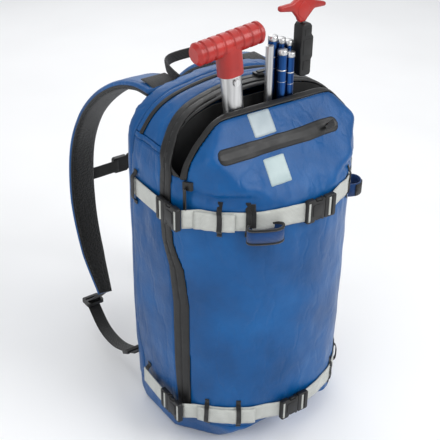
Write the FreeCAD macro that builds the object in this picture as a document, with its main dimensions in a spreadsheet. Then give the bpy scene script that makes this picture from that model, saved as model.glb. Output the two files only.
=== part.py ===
import FreeCAD, Part
import math
import os

# Ski touring backpack. Own frame: origin at the centre of the base, +Z up,
# +Y towards the wearer's back, +X towards the side that carries the round gear loop.
os.makedirs("parts", exist_ok=True)
V = FreeCAD.Vector
doc = FreeCAD.newDocument("SkiBackpack")
sheet = doc.addObject("Spreadsheet::Sheet", "Dims")
DIMENSIONS = [
    ("half_width", 140.0), ("base_half_width", 129.0), ("bag_height", 490.0), ("back_plane", 80.0),
    ("fabric_wall", 3.0), ("pad_span", 700.0), ("webbing_width", 25.0), ("webbing_thick", 2.2),
    ("lower_strap_level", 62.0), ("upper_strap_level", 366.0), ("hinge_level", 392.0),
    ("back_corner", 18.0), ("front_corner", 56.0), ("front_bow", 155.0),
    ("corner_centre", 84.0), ("bow_centre", 35.0), ("arch_centre", 190.0), ("arch_bow", 300.0),
    ("arch_corner", 75.0), ("shoulder_width", 54.0), ("shell_thick", 5.0), ("mesh_thick", 7.0),
    ("buckle_width", 32.0), ("buckle_thick", 7.6), ("clip_clearance", 0.4), ("tool_line", -32.0),
    ("pocket_floor_level", 186.0), ("shaft_wide", 26.0), ("shaft_deep", 20.0), ("grip_length", 95.0),
    ("grip_radius", 13.5), ("probe_tube", 11.5), ("probe_length", 368.0), ("back_pad_thick", 8.0),
    ("button_radius", 4.2), ("shovel_lean", 6.5),
]
P = {}
for row, (alias, value) in enumerate(DIMENSIONS, 1):
    sheet.set("A%d" % row, alias)
    sheet.set("B%d" % row, str(value))
    sheet.setAlias("B%d" % row, alias)
    P[alias] = value
doc.recompute()
NODES = []


def bind(obj, prop, value):
    if isinstance(value, str):
        obj.setExpression(prop, value)
    else:
        obj.setExpression(prop, "%.4f mm" % value)


def lines(points):
    edges = []
    for i, a in enumerate(points):
        b = points[(i + 1) % len(points)]
        edges.append(Part.LineSegment(V(a[0], a[1], 0), V(b[0], b[1], 0)))
    return edges


def arc(centre, radius, start, end):
    circle = Part.Circle(V(centre[0], centre[1], 0), V(0, 0, 1), radius)
    return Part.ArcOfCircle(circle, math.radians(start), math.radians(end))


def round_rect(u0, u1, v0, v1, r):
    if r <= 0:
        return lines([(u0, v0), (u1, v0), (u1, v1), (u0, v1)])
    return [
        Part.LineSegment(V(u0 + r, v0, 0), V(u1 - r, v0, 0)), arc((u1 - r, v0 + r), r, -90, 0),
        Part.LineSegment(V(u1, v0 + r, 0), V(u1, v1 - r, 0)), arc((u1 - r, v1 - r), r, 0, 90),
        Part.LineSegment(V(u1 - r, v1, 0), V(u0 + r, v1, 0)), arc((u0 + r, v1 - r), r, 90, 180),
        Part.LineSegment(V(u0, v1 - r, 0), V(u0, v0 + r, 0)), arc((u0 + r, v0 + r), r, 180, 270),
    ]


def sketch_on(body, plane, name, edges, offset=0.0):
    sketch = body.newObject("Sketcher::SketchObject", name)
    for item in body.Origin.OriginFeatures:
        if item.Role == plane + "_Plane":
            sketch.AttachmentSupport = [(item, "")]
    sketch.MapMode = "FlatFace"
    sketch.AttachmentOffset = FreeCAD.Placement(V(0, 0, offset), FreeCAD.Rotation())
    for edge in edges:
        sketch.addGeometry(edge, False)
    return sketch


def prism(name, plane, edges, length, offset=0.0, symmetric=False):
    body = doc.addObject("PartDesign::Body", name)
    sketch = sketch_on(body, plane, name + "_Sketch", edges, offset)
    doc.recompute()
    pad = body.newObject("PartDesign::Pad", name + "_Pad")
    pad.Profile = sketch
    if symmetric:
        pad.SideType = "Symmetric"
    bind(pad, "Length", length)
    body.Tip = pad
    doc.recompute()
    return body


def bar(name, x, y, z, r=0.0, axis="z"):
    if axis == "z":
        return prism(name, "XY", round_rect(x[0], x[1], y[0], y[1], r), z[1] - z[0], z[0])
    if axis == "y":
        return prism(name, "XZ", round_rect(x[0], x[1], z[0], z[1], r), y[1] - y[0], -y[1])
    return prism(name, "YZ", round_rect(y[0], y[1], z[0], z[1], r), x[1] - x[0], x[0])


def side_prism(name, points):
    return prism(name, "YZ", lines(points), "Dims.pad_span", symmetric=True)


def front_prism(name, points):
    return prism(name, "XZ", lines(points), "Dims.pad_span", symmetric=True)


def common(name, *shapes):
    obj = doc.addObject("Part::MultiCommon", name)
    obj.Shapes = list(shapes)
    doc.recompute()
    return obj


def fuse(name, *shapes):
    obj = doc.addObject("Part::MultiFuse", name)
    obj.Shapes = list(shapes)
    doc.recompute()
    return obj


def cut(name, base, tool):
    obj = doc.addObject("Part::Cut", name)
    obj.Base = base
    obj.Tool = tool
    doc.recompute()
    return obj


def node(obj):
    NODES.append(obj)
    return obj


def group(name, *shapes):
    obj = doc.addObject("Part::Compound", name)
    obj.Links = list(shapes)
    doc.recompute()
    return obj


# ---- outer form of the bag: plan outline, front arch and side profile ----
SIDE_END = P["bow_centre"] - math.sqrt((P["front_bow"] - P["front_corner"]) ** 2 - P["corner_centre"] ** 2)
ARCH_X = P["half_width"] - P["arch_corner"]
ARCH_TOP = P["arch_centre"] + math.sqrt((P["arch_bow"] - P["arch_corner"]) ** 2 - ARCH_X ** 2)
BOW_END = math.degrees(math.atan2(SIDE_END - P["bow_centre"], P["corner_centre"]))
ARCH_END = math.degrees(math.atan2(ARCH_TOP - P["arch_centre"], ARCH_X))


def plan_edges(t):
    w = P["half_width"] + t
    c = P["corner_centre"]
    s = SIDE_END
    r = P["front_corner"] + t
    q = P["back_corner"]
    b = P["back_plane"] + t
    return [
        Part.LineSegment(V(w, s, 0), V(w, b - q, 0)), arc((w - q, b - q), q, 0, 90),
        Part.LineSegment(V(w - q, b, 0), V(q - w, b, 0)), arc((q - w, b - q), q, 90, 180),
        Part.LineSegment(V(-w, b - q, 0), V(-w, s, 0)), arc((-c, s), r, 180, 180 - BOW_END),
        arc((0, P["bow_centre"]), P["front_bow"] + t, 180 - BOW_END, 360 + BOW_END),
        arc((c, s), r, BOW_END, 0),
    ]


def arch_edges(t):
    w = P["half_width"] + t
    b = P["base_half_width"] + t
    r = P["arch_corner"] + t
    return [
        Part.LineSegment(V(-b, -t, 0), V(b, -t, 0)), Part.LineSegment(V(b, -t, 0), V(w, 150, 0)),
        Part.LineSegment(V(w, 150, 0), V(w, ARCH_TOP, 0)), arc((ARCH_X, ARCH_TOP), r, 0, ARCH_END),
        arc((0, P["arch_centre"]), P["arch_bow"] + t, ARCH_END, 180 - ARCH_END),
        arc((-ARCH_X, ARCH_TOP), r, 180 - ARCH_END, 180),
        Part.LineSegment(V(-w, ARCH_TOP, 0), V(-w, 150, 0)), Part.LineSegment(V(-w, 150, 0), V(-b, -t, 0)),
    ]


def profile_points(t):
    return [(90, 14 - t), (80 + t, 14 - t), (68 + 0.4 * t, -t), (-66 - 0.5 * t, -t), (-120 - t, 55 - 0.4 * t),
            (-120 - t, 375 + 0.3 * t), (-44 - t, 490 + 0.55 * t), (-12, 508 + t), (90, 508 + t)]


def flap_arch_points(t):
    return [(-180, -20), (180, -20), (180, 390), (136 + t, 402), (129 + t, 422), (107 + t, 450),
            (88 + 0.6 * t, 475 + 0.7 * t), (62, 487 + t), (0, 491 + t), (-62, 487 + t),
            (-88 - 0.6 * t, 475 + 0.7 * t), (-107 - t, 450), (-129 - t, 422), (-136 - t, 402), (-180, 390)]


# The cloth is gathered in at the two lower front corners, square to this direction seen from above.
CORNER_TURN = -35.5


def corner_points(t):
    return [(-400, -30), (99 + t, -30), (141 + t, 68), (200, 68), (200, 530), (-400, 530)]


def envelope(name, t):
    plan = prism(name + "_Plan", "XY", plan_edges(t), 540.0, -10.0)
    arch = prism(name + "_Arch", "XZ", arch_edges(t), "Dims.pad_span", symmetric=True)
    profile = side_prism(name + "_Profile", profile_points(t))
    corners = []
    for turn in (CORNER_TURN, 180 - CORNER_TURN):
        corner = side_prism("%s_Corner%d" % (name, turn), corner_points(t))
        corner.Placement = FreeCAD.Placement(V(0, 0, 0), FreeCAD.Rotation(V(0, 0, 1), turn - 90))
        corners.append(corner)
    return common(name, plan, arch, profile, *corners)


WALL = -P["fabric_wall"]
WEB = P["webbing_thick"]
outer = envelope("Outer", 0.0)
inner = envelope("Inner", WALL)
raised = envelope("Raised", 1.2)
strap_skin = envelope("StrapSkin", WEB)
loop_skin = envelope("LoopSkin", 4.0)
shell = cut("Shell", outer, inner)
tape_shell = cut("TapeShell", raised, inner)
flap_outer = common("FlapOuter", outer, front_prism("FlapArchOuter", flap_arch_points(0.0)))
flap_inner = common("FlapInner", inner, front_prism("FlapArchInner", flap_arch_points(WALL)))
flap_raised = common("FlapRaised", raised, front_prism("FlapArchRaised", flap_arch_points(1.2)))
flap_shell = cut("FlapShell", flap_outer, flap_inner)
flap_tape_shell = cut("FlapTapeShell", flap_raised, flap_inner)
flap_skin = cut("FlapSkin", flap_raised, flap_outer)

# ---- main zip band, measured along the side of the bag ----
ZIP_PATH = [(13, 505), (10, 488), (-8, 450), (-20, 416), (-17, 360), (-21, 320), (-35, 285), (-41, 233),
            (-42, 60), (-38, 40)]
HALF_TAPE = 10.5
zip_band = side_prism("ZipBand", [(a - HALF_TAPE, b) for a, b in ZIP_PATH]
                      + [(a + HALF_TAPE, b) for a, b in reversed(ZIP_PATH)])
REAR = [(a + HALF_TAPE, b) for a, b in ZIP_PATH]
FRONT = [(a - HALF_TAPE, b) for a, b in ZIP_PATH]


def rear_strip(name, low, high, y_back=58.0, y_front=None):
    if y_front is not None:
        return side_prism(name, [(y_front, low), (y_back, low), (y_back, high), (y_front, high)])
    edge = [p for p in REAR if low < p[1] < high]

    def at(level):
        for (a, b), (c, d) in zip(REAR, REAR[1:]):
            if d <= level <= b:
                return c + (a - c) * (level - d) / (b - d)
        return REAR[-1][0]
    points = [(at(high), high)] + edge + [(at(low), low), (y_back, low), (y_back, high)]
    return side_prism(name, points)


node(common("back_panel", shell, bar("BackZone", (-200, 200), (58, 120), (40, 520))))
node(common("base_panel", shell, bar("BaseZone", (-200, 200), (-150, 120), (-20, 40))))
side_zone = rear_strip("SideZone", 40.0, 432.0)
node(common("side_panel_left", shell, side_zone, bar("LeftZone", (-200, -60), (-150, 120), (0, 520))))
node(common("side_panel_right", shell, side_zone, bar("RightZone", (60, 200), (-150, 120), (0, 520))))
node(common("side_welts", tape_shell, rear_strip("WeltZone", 432.0, 438.0)))
yoke_zone = rear_strip("YokeZone", 438.0, 504.0)
rear_zip_zone = rear_strip("RearZipZone", 438.0, 504.0, 48.0, 42.0)
yoke = common("Yoke", shell, yoke_zone)
node(common("top_yoke_rear", yoke, bar("YokeRearZone", (-200, 200), (48, 58), (430, 520))))
node(common("top_yoke_front", yoke, bar("YokeFrontZone", (-200, 200), (-60, 42), (430, 520))))
node(common("rear_zip_tape", tape_shell, rear_zip_zone))
main_tape = node(common("main_zip_tape", tape_shell, zip_band))

# ---- front of the bag, the open tool pocket and its hinged front flap ----
LEVEL = P["hinge_level"]
front_zone = side_prism("FrontZone", [(-150, 40), (-150, LEVEL), (-51.0, LEVEL), (-43.4, 414), (-31.5, 414)]
                        + [p for p in FRONT if 40 <= p[1] < 414])
node(common("front_panel", shell, front_zone))
rim_zone = side_prism("RimZone", [(-43.4, 414), (-36, 419), (-28, 424), (-17, 448), (-10, 488), (-10, 505),
                                  (2.5, 505), (-0.5, 488), (-18.5, 450), (-30.5, 416), (-31.5, 414)])
node(common("pocket_rim", shell, cut("RimOnly", rim_zone, zip_band)))
divider_zone = bar("DividerZone", (-200, 200), (-13.5, -11), (40, 480))
node(common("pocket_divider", inner, divider_zone))
FLOOR = P["pocket_floor_level"]
floor_zone = bar("FloorZone", (-200, 200), (-150, -13.8), (FLOOR - 3, FLOOR))
node(common("pocket_floor", inner, floor_zone))
flap_zone = side_prism("FlapZone", [(-150, LEVEL + 0.4), (-58.5, LEVEL + 0.4), (-51.2, 414.5), (-51.2, 505),
                                    (-150, 505)])
node(common("front_flap", flap_shell, flap_zone))
tape_zone = side_prism("FlapTapeZone", [(-58.5, LEVEL + 0.4), (-51.6, LEVEL + 0.4), (-44, 414.5), (-44, 505),
                                        (-51.2, 505), (-51.2, 414.5)])
node(common("flap_zip_tape", flap_tape_shell, tape_zone))
strip_outline = bar("StripOutline", (-102, 80), (-150, -30), (435.5, 451.5), 7.9, "y")
node(common("pocket_zip_strip", flap_skin, strip_outline))
node(common("reflective_tab", flap_skin, bar("TabOutline", (-45, -13), (-150, -51.5), (455, 477), 2, "y")))
node(common("flap_patch", flap_skin, bar("PatchOutline", (-44, -13), (-150, -51.5), (402.5, 430.5), 3, "y")))

# ---- padded back ----
PAD_Y = P["back_plane"]
pad_outline = [(-106, 60), (106, 60), (110, 200), (106, 330), (70, 430), (-70, 430), (-106, 330), (-110, 200)]
back_pad = doc.addObject("PartDesign::Body", "back_pad")
pad_sketch = sketch_on(back_pad, "XZ", "BackPadOutline", lines(pad_outline), -PAD_Y - P["back_pad_thick"])
doc.recompute()
pad_feature = back_pad.newObject("PartDesign::Pad", "BackPadPad")
pad_feature.Profile = pad_sketch
bind(pad_feature, "Length", "Dims.back_pad_thick")
doc.recompute()
channel = [(-14, 50), (14, 50), (14, 440), (-14, 440)]
groove = back_pad.newObject("PartDesign::Pocket", "BackPadChannel")
groove.Profile = sketch_on(back_pad, "XZ", "ChannelOutline", lines(channel), -PAD_Y - P["back_pad_thick"])
groove.Reversed = False
bind(groove, "Length", 5.0)
doc.recompute()
back_pad.Tip = groove
node(back_pad)

# ---- compression straps: bands that hug the bag ----
strap_shell = cut("StrapShell", strap_skin, outer)
HALF_WEB = P["webbing_width"] / 2.0
LEVELS = {"lower": P["lower_strap_level"], "upper": P["upper_strap_level"]}
FRONT_X = {"lower": -10.0, "upper": 12.0}
LEFT_Y = {"lower": -12.0, "upper": -14.0}
SIDE_Y = {"lower": 38.0, "upper": 47.0}
sockets = []
side_loops = []
keepers = []
BT = P["buckle_thick"]
HB = P["buckle_width"] / 2.0
GAP = P["clip_clearance"]
for key in ("lower", "upper"):
    z0 = LEVELS[key]
    zone_z = (z0 - HALF_WEB, z0 + HALF_WEB)
    fx = FRONT_X[key]
    ly = LEFT_Y[key]
    sy = SIDE_Y[key]
    left = bar(key + "_LeftZone", (-200, fx - 19), (-150, ly - 38), zone_z)
    node(cut("strap_%s_front" % key, common(key + "_FrontBand", strap_shell, left), main_tape))
    right = bar(key + "_RightZone", (fx + 26, 200), (-150, sy - 6), zone_z)
    node(cut("strap_%s_right" % key, common(key + "_RightBand", strap_shell, right), main_tape))
    # front buckle, released towards +X
    y_in = -123.0
    shell_box = bar(key + "_FrontSocketBody", (fx - 20, fx + 8), (y_in - BT, y_in), (z0 - HB, z0 + HB), 5, "y")
    cavity = bar(key + "_FrontSocketBore", (fx - 12, fx + 9), (y_in - BT + 2, y_in - 2),
                 (z0 - 12, z0 + 12), 0, "y")
    sockets.append(cut(key + "_FrontSocket", shell_box, cavity))
    body = bar(key + "_FrontClipBody", (fx + 8 + GAP, fx + 26), (y_in - BT, y_in), (z0 - HB, z0 + HB), 5, "y")
    slot = bar(key + "_FrontClipSlot", (fx + 18, fx + 22), (y_in - BT - 1, y_in + 1),
               (z0 - 12.5, z0 + 12.5), 0, "y")
    tongue = bar(key + "_FrontTongue", (fx - 10, fx + 10), (y_in - BT + 2 + GAP, y_in - 2 - GAP),
                 (z0 - 12 + GAP, z0 + 12 - GAP), 0, "y")
    node(fuse("clip_%s_front" % key, cut(key + "_FrontClip", body, slot), tongue))
    # side buckle, released towards +Y, away from the front
    x_out = -149.0
    side_box = bar(key + "_SideSocketBody", (x_out, x_out + BT), (ly - 38, ly - 14), (z0 - HB, z0 + HB), 5, "x")
    side_bore = bar(key + "_SideSocketBore", (x_out + 2, x_out + BT - 2), (ly - 31, ly - 13),
                    (z0 - 12, z0 + 12), 0, "x")
    sockets.append(cut(key + "_SideSocket", side_box, side_bore))
    side_body = bar(key + "_SideClipBody", (x_out, x_out + BT), (ly - 14 + GAP, ly + 4), (z0 - HB, z0 + HB), 5, "x")
    side_tongue = bar(key + "_SideTongue", (x_out + 2 + GAP, x_out + BT - 2 - GAP), (ly - 29, ly - 12),
                      (z0 - 12 + GAP, z0 + 12 - GAP), 0, "x")
    node(fuse("clip_%s_side" % key, side_body, side_tongue))
    node(bar("strap_%s_side" % key, (x_out + 4.4, x_out + 4.4 + 1.6), (ly + 4, sy + 8), zone_z, 0, "x"))
    for side in (-1, 1):
        gap_in = 6.0 if side < 0 else WEB + 0.6
        x_in = side * (P["half_width"] + gap_in)
        xs = sorted((x_in, x_in + side * 1.4))
        top = bar("%s_LoopTop%d" % (key, side + 1), xs, (sy - 3.5, sy + 3.5), (z0 - 24, z0 + 24), 0, "x")
        reach = sorted((side * (P["half_width"] + 0.1), x_in + side * 1.4))
        foot_a = bar("%s_LoopFootA%d" % (key, side + 1), reach, (sy - 3.5, sy + 3.5), (z0 - 24, z0 - 19), 0, "x")
        foot_b = bar("%s_LoopFootB%d" % (key, side + 1), reach, (sy - 3.5, sy + 3.5), (z0 + 19, z0 + 24), 0, "x")
        side_loops.append(cut("%s_Loop%d" % (key, side + 1),
                              fuse("%s_LoopRaw%d" % (key, side + 1), top, foot_a, foot_b), outer))
    xs_keep = (-111, -78, 78, 111) if key == "lower" else (-101, -92, 84)
    clear = bar(key + "_KeeperClear", (-200, 200), (-160, 160), (z0 - HALF_WEB - 0.6, z0 + HALF_WEB + 0.6))
    under = common(key + "_KeeperUnder", doc.getObject("StrapSkin"), clear)
    for x in xs_keep:
        zone = bar("%s_KeeperZone%d" % (key, x + 200), (x - 3, x + 3), (-150, -20), (z0 - 20, z0 + 20))
        raw = common("%s_KeeperRaw%d" % (key, x + 200), loop_skin, zone)
        hugging = cut("%s_KeeperHug%d" % (key, x + 200), raw, outer)
        keepers.append(cut("%s_Keeper%d" % (key, x + 200), hugging, under))
node(group("strap_buckle_sockets", *sockets))
node(group("side_loops", *side_loops))
node(group("strap_keepers", *keepers))

# ---- axe loop on the front, gear loop on the right side ----


def ring_edges(centre, big, small):
    c = V(centre[0], centre[1], 0)
    return [Part.Circle(c, V(0, 0, 1), big), Part.Circle(c, V(0, 0, 1), small)]


def flat_ring(name, height, z0, half_long, half_deep, wall):
    outside = prism(name + "_Outside", "XY", round_rect(-half_long, half_long, -half_deep, half_deep,
                                                        half_deep - 0.2), height, z0)
    a = half_long - wall
    b = half_deep - wall
    inside = prism(name + "_Inside", "XY", round_rect(-a, a, -b, b, b - 0.2), height + 2, z0 - 1)
    ring = cut(name + "_Ring", outside, inside)
    for piece in (outside, inside):
        piece.Placement = FreeCAD.Placement(V(-62.5, -118.5, 0), FreeCAD.Rotation(V(0, 0, 1), -22))
    doc.recompute()
    return ring


axe_ring = flat_ring("AxeLoop", 17.0, 343.5, 23.0, 10.5, 1.6)
axe_lower = flat_ring("AxeTrimLow", 2.2, 341.2, 23.3, 10.8, 2.2)
axe_upper = flat_ring("AxeTrimHigh", 2.2, 360.6, 23.3, 10.8, 2.2)
node(cut("axe_loop", axe_ring, strap_skin))
node(group("axe_loop_trim", cut("AxeTrimA", axe_lower, strap_skin), cut("AxeTrimB", axe_upper, strap_skin)))
GEAR = (157.6, -28.0)
node(cut("gear_loop", prism("GearRing", "XY", ring_edges(GEAR, 17.5, 15.7), 20.0, 300.0), raised))
gear_zone = bar("GearWebZone", (120, 200), (-38, -18), (320.4, 352))
node(cut("gear_loop_web", common("GearBand", strap_shell, gear_zone), main_tape))

# ---- shoulder straps: a padded band swept in side view, trimmed to its drift seen from behind ----
STRAP_LINE = [(80.6, 470), (120, 468), (168, 452), (225, 418), (272, 372), (298, 318), (303, 260), (292, 200),
              (262, 140), (218, 90)]
STRAP_DRIFT = [(72, 492, 1.0), (74, 460, 1.0), (82, 372, 0.96), (89, 300, 0.9), (95, 220, 0.88), (102, 140, 0.74),
               (109, 84, 0.42)]


def offset_line(points, d):
    result = []
    for i, p in enumerate(points):
        a = points[max(i - 1, 0)]
        b = points[min(i + 1, len(points) - 1)]
        n = math.hypot(b[0] - a[0], b[1] - a[1])
        result.append((p[0] - (b[1] - a[1]) / n * d, p[1] + (b[0] - a[0]) / n * d))
    return result


def spline(points):
    curve = Part.BSplineCurve()
    curve.interpolate([V(p[0], p[1], 0) for p in points])
    return curve


def layer_edges(line, near, far):
    a = offset_line(line, near)
    b = offset_line(line, far)
    return [spline(a), Part.LineSegment(V(a[-1][0], a[-1][1], 0), V(b[-1][0], b[-1][1], 0)), spline(b),
            Part.LineSegment(V(b[0][0], b[0][1], 0), V(a[0][0], a[0][1], 0))]


HALF_STRAP = P["shoulder_width"] / 2.0
for tag, side in (("left", -1), ("right", 1)):
    inner_edge = [(side * (x - HALF_STRAP * k), z) for x, z, k in STRAP_DRIFT]
    outer_edge = [(side * (x + HALF_STRAP * k), z) for x, z, k in reversed(STRAP_DRIFT)]
    drift = [spline(inner_edge), Part.LineSegment(V(*inner_edge[-1], 0), V(*outer_edge[0], 0)),
             spline(outer_edge), Part.LineSegment(V(*outer_edge[-1], 0), V(*inner_edge[0], 0))]
    trim = prism("StrapTrim_" + tag, "XZ", drift, "Dims.pad_span", symmetric=True)
    shell_band = prism("StrapShellBand_" + tag, "YZ", layer_edges(STRAP_LINE, 0.0, P["shell_thick"]),
                       "Dims.pad_span", symmetric=True)
    mesh_band = prism("StrapMeshBand_" + tag, "YZ", layer_edges(STRAP_LINE, -P["mesh_thick"], -0.05),
                      "Dims.pad_span", symmetric=True)
    node(common("shoulder_shell_" + tag, shell_band, trim))
    node(common("shoulder_mesh_" + tag, mesh_band, trim))

# ---- lower webbing from the strap tips back to the base ----
locks = []
webs = []
LOWER_WEB = [(244, 58), (200, 38), (150, 42), (81.2, 72)]
WEB_DRIFT = [(117, 246), (122, 200), (127, 150), (127, 78)]
for side in (-1, 1):
    a = offset_line(LOWER_WEB, 0.0)
    b = offset_line(LOWER_WEB, 1.6)
    band = prism("LowerWebBand%d" % (side + 1), "YZ", lines(a + list(reversed(b))), "Dims.pad_span",
                 symmetric=True)
    plan = [(side * (x - 10), y) for x, y in WEB_DRIFT] + [(side * (x + 10), y) for x, y in reversed(WEB_DRIFT)]
    webs.append(common("LowerWeb%d" % (side + 1), band,
                       prism("LowerWebPlan%d" % (side + 1), "XY", lines(plan), 300.0, 0.0)))
    xs = sorted((side * 102.0, side * 131.0))
    frame = bar("LockBody%d" % (side + 1), xs, (234, 256), (60.5, 66.0), 4, "z")
    window = bar("LockWindow%d" % (side + 1), (xs[0] + 4, xs[1] - 4), (238.5, 242.5), (58, 75), 0, "z")
    window_b = bar("LockWindowB%d" % (side + 1), (xs[0] + 4, xs[1] - 4), (247, 251), (58, 75), 0, "z")
    locks.append(cut("Lock%d" % (side + 1), cut("LockRaw%d" % (side + 1), frame, window), window_b))
node(group("lower_webs", *webs))
node(group("ladder_locks", *locks))

# ---- sternum strap across the two shoulder straps ----
STERNUM_Z = 250.0
STERNUM_Y = 308.9
sz = (STERNUM_Z - 10, STERNUM_Z + 10)
node(bar("sternum_web_left", (-104, -22), (STERNUM_Y, STERNUM_Y + 1.6), sz, 0, "y"))
node(bar("sternum_web_right", (14, 104), (STERNUM_Y, STERNUM_Y + 1.6), sz, 0, "y"))
socket_body = bar("SternumSocketBody", (-30, -4), (STERNUM_Y + 1.9, STERNUM_Y + 9), (sz[0] - 3, sz[1] + 3), 4, "y")
socket_bore = bar("SternumSocketBore", (-24, -3), (STERNUM_Y + 3.5, STERNUM_Y + 7.4), (sz[0], sz[1]), 0, "y")
node(cut("sternum_socket", socket_body, socket_bore))
clip_body = bar("SternumClipBody", (-3.6, 13.6), (STERNUM_Y + 1.9, STERNUM_Y + 9), (sz[0] - 3, sz[1] + 3), 4, "y")
clip_tongue = bar("SternumTongue", (-22, -2), (STERNUM_Y + 3.9, STERNUM_Y + 7.0), (sz[0] + 0.4, sz[1] - 0.4), 0, "y")
node(fuse("sternum_clip", clip_body, clip_tongue))
sliders = []
for side in (-1, 1):
    xs = sorted((side * 80.0, side * 98.0))
    plate = bar("SternumSlider%d" % (side + 1), xs, (STERNUM_Y + 1.9, STERNUM_Y + 5.5),
                (sz[0] - 5, sz[1] + 5), 3, "y")
    sliders.append(plate)
node(group("sternum_sliders", *sliders))

# ---- haul handle: a flat webbing loop that lies back over the shoulder straps ----
handle_u = lines([(-57, 82), (-57, 118), (-49, 132), (49, 132), (57, 118), (57, 82), (36, 82), (36, 108),
                  (30, 113), (-30, 113), (-36, 108), (-36, 82)])
node(prism("haul_handle", "XY", handle_u, 3.0, 481.0))

# ---- shovel handle: shaft, ribbed grip and snap button, built upright and leaned to the side ----
TOOL_Y = P["tool_line"]
MOUTH_X = -50.0
MOUTH_Z = 484.0
LEAN = FreeCAD.Placement(V(MOUTH_X, TOOL_Y, MOUTH_Z), FreeCAD.Rotation(V(0, 1, 0), -P["shovel_lean"]))
shaft_low = FLOOR + 6.0 - MOUTH_Z
shaft = doc.addObject("PartDesign::Body", "shovel_shaft")
oval = round_rect(-13, 13, -10, 10, 9.5)
shaft_sketch = sketch_on(shaft, "XY", "ShaftOval", oval, shaft_low)
doc.recompute()
shaft_pad = shaft.newObject("PartDesign::Pad", "ShaftPad")
shaft_pad.Profile = shaft_sketch
bind(shaft_pad, "Length", 56.0 - shaft_low)
doc.recompute()
hole = shaft.newObject("PartDesign::Pocket", "ButtonHole")
hole.Profile = sketch_on(shaft, "XZ", "ButtonHoleCircle", [Part.Circle(V(0, 32, 0), V(0, 0, 1), 4.6)], 10.0)
bind(hole, "Length", 7.0)
doc.recompute()
shaft.Tip = hole
shaft.Placement = LEAN
node(shaft)
GRIP_Z = 78.0
R = P["grip_radius"]
HALF_GRIP = P["grip_length"] / 2.0
grip = doc.addObject("PartDesign::Body", "shovel_grip")
ribs = [(-HALF_GRIP, 0), (-HALF_GRIP, R - 4), (-HALF_GRIP + 4, R)]
for i in range(7):
    x = -HALF_GRIP + 7.5 + i * 12.6
    ribs += [(x, R), (x + 1.5, R - 1.6), (x + 3.5, R - 1.6), (x + 5, R)]
ribs += [(HALF_GRIP - 4, R), (HALF_GRIP, R - 4), (HALF_GRIP, 0)]
rib_sketch = sketch_on(grip, "XY", "GripProfile", lines(ribs), GRIP_Z)
doc.recompute()
turn = grip.newObject("PartDesign::Revolution", "GripTurn")
turn.Profile = rib_sketch
turn.ReferenceAxis = (rib_sketch, ["H_Axis"])
turn.Angle = 360.0
doc.recompute()
collar_sketch = sketch_on(grip, "XY", "GripCollar", round_rect(-16, 16, -12.6, 12.6, 12), 40.0)
doc.recompute()
collar = grip.newObject("PartDesign::Pad", "GripCollarPad")
collar.Profile = collar_sketch
bind(collar, "Length", GRIP_Z - 40.0)
doc.recompute()
bore = grip.newObject("PartDesign::Pocket", "GripBore")
bore.Profile = sketch_on(grip, "XY", "GripBoreOval", round_rect(-13.1, 13.1, -10.1, 10.1, 9.5), 39.0)
bore.Reversed = True
bind(bore, "Length", 18.0)
doc.recompute()
grip.Tip = bore
grip.Placement = LEAN
node(grip)
button = doc.addObject("PartDesign::Body", "shovel_button")
button_sketch = sketch_on(button, "XZ", "ButtonCircle", [Part.Circle(V(0, 32, 0), V(0, 0, 1), 4.2)], 7.0)
doc.recompute()
button_pad = button.newObject("PartDesign::Pad", "ButtonPad")
button_pad.Profile = button_sketch
bind(button_pad, "Length", 6.0)
doc.recompute()
button.Tip = button_pad
button.Placement = LEAN
node(button)

# ---- avalanche probe: folded tubes, bright top section, lock housing and pull ----
PROBE_LOW = FLOOR + 0.4
tube_solids = []
for i, (px, py) in enumerate(((13, -24.6), (25, -24.6), (37, -24.6), (19, -36.6), (31, -36.6))):
    circle = [Part.Circle(V(px, py, 0), V(0, 0, 1), P["probe_tube"] / 2.0)]
    tube_solids.append(prism("ProbeTube%d" % i, "XY", circle, "Dims.probe_length - %d" % (i * 5), PROBE_LOW))
node(group("probe_tubes", *tube_solids))
bright = [Part.Circle(V(3.0, -32, 0), V(0, 0, 1), 5.0)]
node(prism("probe_bright_section", "XY", bright, "Dims.probe_length - 8", PROBE_LOW))
lock_body = bar("ProbeLockBody", (44.4, 64), (-41, -23), (500, 566), 5, "z")
node(lock_body)
lock_body.Label = "probe_lock"
wings = [(14, 585), (34, 582), (42, 573), (45, 567), (54, 567), (57, 571), (67, 581), (85, 581), (85, 586),
         (67, 591), (57, 597), (42, 598), (33, 592), (14, 591)]
node(prism("probe_pull", "XZ", lines(wings), 8.0, 28.0))

# ---- zip sliders and pulls ----
flap_slider_zone = bar("FlapSliderZone", (-200, -100), (-58.5, -49.5), (402, 413))
node(cut("flap_zip_slider", common("FlapSliderRaw", loop_skin, flap_slider_zone), raised))
node(bar("flap_zip_pull", (-136.2, -134.6), (-57.6, -52.6), (374, 406), 2, "x"))
main_slider_zone = bar("MainSliderZone", (18, 30), (6, 20), (470, 520))
node(cut("main_zip_slider", common("MainSliderRaw", loop_skin, main_slider_zone), raised))
node(bar("main_zip_pull", (20, 52), (10, 16), (494.2, 496), 2, "z"))

doc.recompute()
bad = [obj.Name for obj in doc.Objects if "Invalid" in obj.State or "Error" in obj.State]
if bad:
    raise RuntimeError("bad state: " + ", ".join(bad))
for obj in NODES:
    if obj.Shape.isNull() or not obj.Shape.isValid() or not obj.Shape.Solids:
        raise RuntimeError("bad shape: " + obj.Label)
    obj.Shape.exportStep("parts/%s.step" % obj.Label)
    box = obj.Shape.BoundBox
    print("%-24s solids %d  x %.1f %.1f  y %.1f %.1f  z %.1f %.1f" % (
        obj.Label, len(obj.Shape.Solids), box.XMin, box.XMax, box.YMin, box.YMax, box.ZMin, box.ZMax))
print("nodes", len(NODES))
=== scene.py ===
import math

import bmesh
import bpy
import numpy as np
from mathutils import Matrix, Vector, noise
from mathutils.bvhtree import BVHTree


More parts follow.
